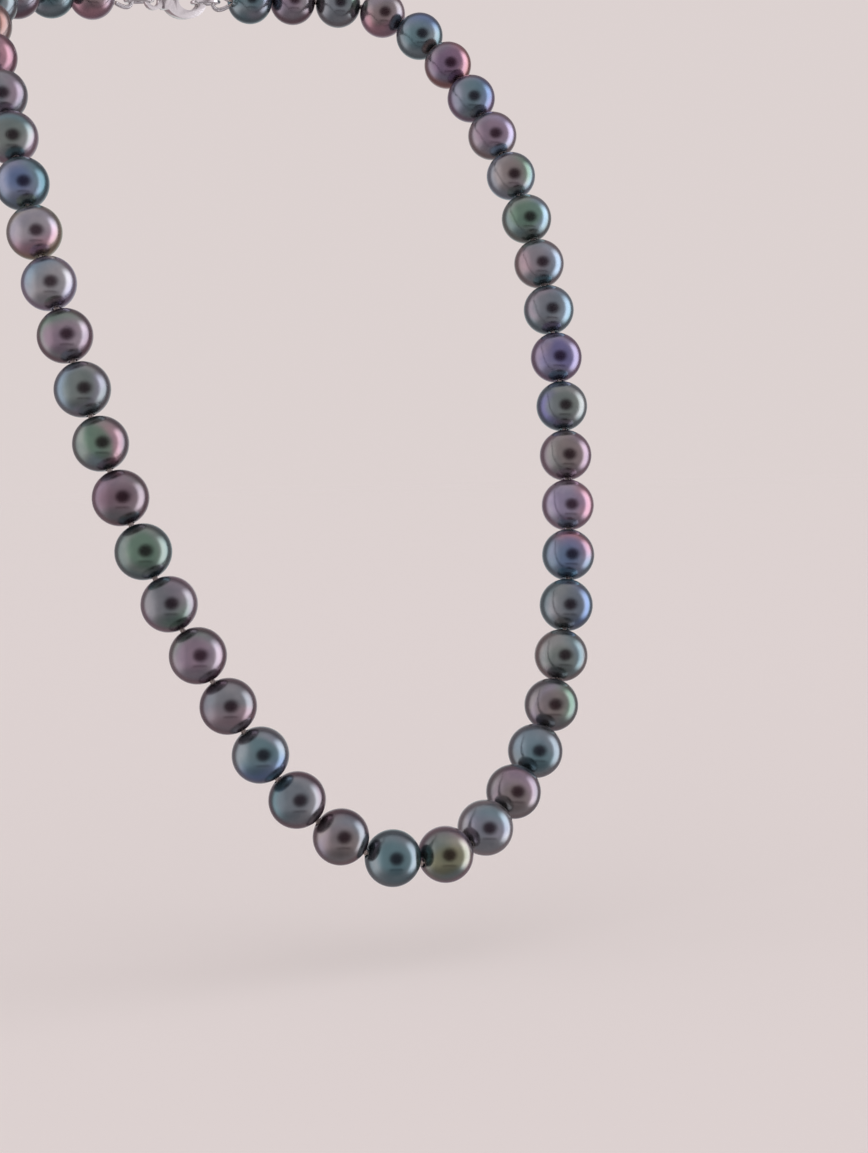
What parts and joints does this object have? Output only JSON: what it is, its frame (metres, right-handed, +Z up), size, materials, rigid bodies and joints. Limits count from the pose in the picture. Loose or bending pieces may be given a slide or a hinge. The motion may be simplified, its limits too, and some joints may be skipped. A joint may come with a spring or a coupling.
{
  "type": "pearl necklace",
  "caption": "Knotted strand of dark nacreous pearls, slightly larger in front, worn round the neck and closed at the nape by a lobster clasp hooked into a ring.",
  "frame": {"origin": "where the strand bears on the back of the neck, behind the middle of the clasp", "axes": "+Z up as worn, the wearer faces -Y, +X to the right as seen from the front"},
  "size_m": [0.1042, 0.0926, 0.1513],
  "materials": {
    "nacre_steel": "gloss",
    "nacre_green": "gloss",
    "nacre_aubergine": "gloss",
    "nacre_blue": "gloss",
    "nacre_taupe": "gloss",
    "silk": "matte",
    "silver": "polished",
    "steel": "satin"
  },
  "bodies": {
    "nape": {"pearl_left_23": "nacre_steel", "pearl_left_22": "nacre_green", "pearl_left_21": "nacre_green", "pearl_left_20": "nacre_steel", "pearl_left_19": "nacre_blue", "pearl_left_18": "nacre_steel", "pearl_left_17": "nacre_green", "pearl_left_16": "nacre_green", "pearl_left_15": "nacre_steel", "pearl_right_23": "nacre_green", "pearl_right_22": "nacre_steel", "pearl_right_21": "nacre_blue", "pearl_right_20": "nacre_steel", "pearl_right_19": "nacre_green", "pearl_right_18": "nacre_green", "pearl_right_17": "nacre_steel", "pearl_right_16": "nacre_blue", "pearl_right_15": "nacre_steel", "silk_thread": "silk", "bullion_left": "silver", "bullion_right": "silver"},
    "jump_ring": {"jump_ring": "silver"},
    "clasp": {"clasp_body": "silver", "lever_pin": "silver", "lever_spring": "steel"},
    "lever": {"clasp_lever": "silver"},
    "end_ring": {"end_ring": "silver"},
    "left_14": {"pearl_left_14": "nacre_blue"},
    "right_14": {"pearl_right_14": "nacre_green"},
    "left_13": {"pearl_left_13": "nacre_steel"},
    "right_13": {"pearl_right_13": "nacre_green"},
    "left_12": {"pearl_left_12": "nacre_green"},
    "right_12": {"pearl_right_12": "nacre_steel"},
    "left_11": {"pearl_left_11": "nacre_green"},
    "right_11": {"pearl_right_11": "nacre_blue"},
    "left_10": {"pearl_left_10": "nacre_steel"},
    "right_10": {"pearl_right_10": "nacre_steel"},
    "left_09": {"pearl_left_09": "nacre_blue"},
    "right_09": {"pearl_right_09": "nacre_green"},
    "left_08": {"pearl_left_08": "nacre_steel"},
    "right_08": {"pearl_right_08": "nacre_green"},
    "left_07": {"pearl_left_07": "nacre_green"},
    "right_07": {"pearl_right_07": "nacre_steel"},
    "left_06": {"pearl_left_06": "nacre_green"},
    "right_06": {"pearl_right_06": "nacre_blue"},
    "left_05": {"pearl_left_05": "nacre_steel"},
    "right_05": {"pearl_right_05": "nacre_steel"},
    "left_04": {"pearl_left_04": "nacre_blue"},
    "right_04": {"pearl_right_04": "nacre_green"},
    "left_03": {"pearl_left_03": "nacre_steel"},
    "right_03": {"pearl_right_03": "nacre_green"},
    "left_02": {"pearl_left_02": "nacre_green"},
    "right_02": {"pearl_right_02": "nacre_steel"},
    "left_01": {"pearl_left_01": "nacre_green"},
    "right_01": {"pearl_right_01": "nacre_blue"},
    "centre": {"pearl_centre": "nacre_steel"}
  },
  "joints": [
    {"name": "upper_bend", "type": "hinge", "parent": "nape", "child": "left_14", "pos_m": [-0.04764, -0.03573, -0.03809], "axis": [-1, -0.0028, -0.0051], "range_deg": [0, 5], "deforming": ["silk_thread"]},
    {"name": "right_14_bend", "type": "hinge", "parent": "nape", "child": "right_14", "pos_m": [0.04763, -0.03547, -0.03761], "axis": [-1, -0.0028, -0.0051], "range_deg": [0, 5.05]},
    {"name": "left_13_bend", "type": "hinge", "parent": "left_14", "child": "left_13", "pos_m": [-0.04757, -0.03988, -0.04612], "axis": [-1, -0.0029, -0.0058], "range_deg": [0, 5.05]},
    {"name": "right_13_bend", "type": "hinge", "parent": "right_14", "child": "right_13", "pos_m": [0.04759, -0.03961, -0.04557], "axis": [-1, -0.0029, -0.0058], "range_deg": [0, 5.05]},
    {"name": "left_12_bend", "type": "hinge", "parent": "left_13", "child": "left_12", "pos_m": [-0.04704, -0.04367, -0.05428], "axis": [-1, -0.0029, -0.0066], "range_deg": [0, 5.05]},
    {"name": "right_12_bend", "type": "hinge", "parent": "right_13", "child": "right_12", "pos_m": [0.04709, -0.0434, -0.05366], "axis": [-1, -0.0029, -0.0066], "range_deg": [0, 5.05]},
    {"name": "left_11_bend", "type": "hinge", "parent": "left_12", "child": "left_11", "pos_m": [-0.04617, -0.04714, -0.06258], "axis": [-1, -0.003, -0.0075], "range_deg": [0, 5.05]},
    {"name": "right_11_bend", "type": "hinge", "parent": "right_12", "child": "right_11", "pos_m": [0.04625, -0.04687, -0.06189], "axis": [-1, -0.003, -0.0075], "range_deg": [0, 5.05]},
    {"name": "left_10_bend", "type": "hinge", "parent": "left_11", "child": "left_10", "pos_m": [-0.04503, -0.05035, -0.07107], "axis": [-1, -0.0029, -0.0085], "range_deg": [0, 5.05]},
    {"name": "right_10_bend", "type": "hinge", "parent": "right_11", "child": "right_10", "pos_m": [0.04514, -0.05008, -0.0703], "axis": [-1, -0.0029, -0.0085], "range_deg": [0, 5.05]},
    {"name": "middle_bend", "type": "hinge", "parent": "left_10", "child": "left_09", "pos_m": [-0.04363, -0.05333, -0.07952], "axis": [-0.9999, -0.003, -0.0096], "range_deg": [0, 5], "deforming": ["silk_thread"]},
    {"name": "right_09_bend", "type": "hinge", "parent": "right_10", "child": "right_09", "pos_m": [0.04377, -0.05307, -0.07869], "axis": [-0.9999, -0.003, -0.0096], "range_deg": [0, 5.05]},
    {"name": "left_08_bend", "type": "hinge", "parent": "left_09", "child": "left_08", "pos_m": [-0.04184, -0.05634, -0.088], "axis": [-0.9999, -0.0035, -0.0106], "range_deg": [0, 5.05]},
    {"name": "right_08_bend", "type": "hinge", "parent": "right_09", "child": "right_08", "pos_m": [0.04203, -0.05605, -0.08711], "axis": [-0.9999, -0.0035, -0.0106], "range_deg": [0, 5.05]},
    {"name": "left_07_bend", "type": "hinge", "parent": "left_08", "child": "left_07", "pos_m": [-0.03959, -0.05953, -0.09632], "axis": [-0.9999, -0.0049, -0.0113], "range_deg": [0, 5.05]},
    {"name": "right_07_bend", "type": "hinge", "parent": "right_08", "child": "right_07", "pos_m": [0.03989, -0.05914, -0.09542], "axis": [-0.9999, -0.0049, -0.0113], "range_deg": [0, 5.05]},
    {"name": "left_06_bend", "type": "hinge", "parent": "left_07", "child": "left_06", "pos_m": [-0.03684, -0.06275, -0.10442], "axis": [-0.9999, -0.0075, -0.0113], "range_deg": [0, 5.05]},
    {"name": "right_06_bend", "type": "hinge", "parent": "right_07", "child": "right_06", "pos_m": [0.03735, -0.06219, -0.10358], "axis": [-0.9999, -0.0075, -0.0113], "range_deg": [0, 5.05]},
    {"name": "left_05_bend", "type": "hinge", "parent": "left_06", "child": "left_05", "pos_m": [-0.03354, -0.06579, -0.11253], "axis": [-0.9999, -0.0094, -0.0116], "range_deg": [0, 5.05]},
    {"name": "right_05_bend", "type": "hinge", "parent": "right_06", "child": "right_05", "pos_m": [0.03431, -0.06515, -0.11174], "axis": [-0.9999, -0.0094, -0.0116], "range_deg": [0, 5.05]},
    {"name": "lower_bend", "type": "hinge", "parent": "left_05", "child": "left_04", "pos_m": [-0.02985, -0.06838, -0.12054], "axis": [-0.9999, -0.0086, -0.0143], "range_deg": [0, 5], "deforming": ["silk_thread"]},
    {"name": "right_04_bend", "type": "hinge", "parent": "right_05", "child": "right_04", "pos_m": [0.03068, -0.06786, -0.11968], "axis": [-0.9999, -0.0086, -0.0143], "range_deg": [0, 5.05]},
    {"name": "left_03_bend", "type": "hinge", "parent": "left_04", "child": "left_03", "pos_m": [-0.02551, -0.07081, -0.12832], "axis": [-0.9997, -0.0038, -0.0256], "range_deg": [0, 5.05]},
    {"name": "right_03_bend", "type": "hinge", "parent": "right_04", "child": "right_03", "pos_m": [0.0259, -0.07062, -0.12701], "axis": [-0.9997, -0.0038, -0.0256], "range_deg": [0, 5.05]},
    {"name": "left_02_bend", "type": "hinge", "parent": "left_03", "child": "left_02", "pos_m": [-0.02012, -0.07346, -0.13545], "axis": [-0.9983, 0.0055, -0.0587], "range_deg": [0, 5.05]},
    {"name": "right_02_bend", "type": "hinge", "parent": "right_03", "child": "right_02", "pos_m": [0.01968, -0.07368, -0.13311], "axis": [-0.9983, 0.0055, -0.0587], "range_deg": [0, 5.05]},
    {"name": "left_01_bend", "type": "hinge", "parent": "left_02", "child": "left_01", "pos_m": [-0.01334, -0.07652, -0.14097], "axis": [-0.9936, 0.0105, -0.1128], "range_deg": [0, 5.05]},
    {"name": "right_01_bend", "type": "hinge", "parent": "right_02", "child": "right_01", "pos_m": [0.01261, -0.0768, -0.13802], "axis": [-0.9936, 0.0105, -0.1128], "range_deg": [0, 5.05]},
    {"name": "centre_spin", "type": "hinge", "parent": "left_01", "child": "centre", "pos_m": [-0.00466, -0.0791, -0.14354], "axis": [-0.9869, 0.0007, -0.1613], "range_deg": [-20, 20]},
    {"name": "clasp_sag", "type": "hinge", "parent": "nape", "child": "jump_ring", "pos_m": [-0.00813, 0.0046, -0.0005], "axis": [0, 1, 0], "range_deg": [-10, 10]},
    {"name": "clasp_tilt", "type": "hinge", "parent": "jump_ring", "child": "clasp", "pos_m": [-0.0043, 0.0046, -0.0005], "axis": [0, 1, 0], "range_deg": [-10.05, 10.05]},
    {"name": "end_ring_swing", "type": "hinge", "parent": "nape", "child": "end_ring", "pos_m": [0.00813, 0.0046, -0.0005], "axis": [0, 1, 0], "range_deg": [-10.05, 10.05]},
    {"name": "lever_press", "type": "hinge", "parent": "clasp", "child": "lever", "pos_m": [-0.0002, 0.0046, 0.0001], "axis": [0, 1, 0], "range_deg": [0, 15], "stiffness_Nm_per_rad": 0.006, "springref_deg": -5.73, "deforming": ["lever_spring"]}
  ],
  "couplings": [
    {"joint": "right_14_bend", "follows": "upper_bend", "ratio": 1},
    {"joint": "left_13_bend", "follows": "upper_bend", "ratio": 1},
    {"joint": "right_13_bend", "follows": "upper_bend", "ratio": 1},
    {"joint": "left_12_bend", "follows": "upper_bend", "ratio": 1},
    {"joint": "right_12_bend", "follows": "upper_bend", "ratio": 1},
    {"joint": "left_11_bend", "follows": "upper_bend", "ratio": 1},
    {"joint": "right_11_bend", "follows": "upper_bend", "ratio": 1},
    {"joint": "left_10_bend", "follows": "upper_bend", "ratio": 1},
    {"joint": "right_10_bend", "follows": "upper_bend", "ratio": 1},
    {"joint": "right_09_bend", "follows": "middle_bend", "ratio": 1},
    {"joint": "left_08_bend", "follows": "middle_bend", "ratio": 1},
    {"joint": "right_08_bend", "follows": "middle_bend", "ratio": 1},
    {"joint": "left_07_bend", "follows": "middle_bend", "ratio": 1},
    {"joint": "right_07_bend", "follows": "middle_bend", "ratio": 1},
    {"joint": "left_06_bend", "follows": "middle_bend", "ratio": 1},
    {"joint": "right_06_bend", "follows": "middle_bend", "ratio": 1},
    {"joint": "left_05_bend", "follows": "middle_bend", "ratio": 1},
    {"joint": "right_05_bend", "follows": "middle_bend", "ratio": 1},
    {"joint": "right_04_bend", "follows": "lower_bend", "ratio": 1},
    {"joint": "left_03_bend", "follows": "lower_bend", "ratio": 1},
    {"joint": "right_03_bend", "follows": "lower_bend", "ratio": 1},
    {"joint": "left_02_bend", "follows": "lower_bend", "ratio": 1},
    {"joint": "right_02_bend", "follows": "lower_bend", "ratio": 1},
    {"joint": "left_01_bend", "follows": "lower_bend", "ratio": 1},
    {"joint": "right_01_bend", "follows": "lower_bend", "ratio": 1},
    {"joint": "clasp_tilt", "follows": "clasp_sag", "ratio": -1},
    {"joint": "end_ring_swing", "follows": "clasp_sag", "ratio": -1}
  ]
}
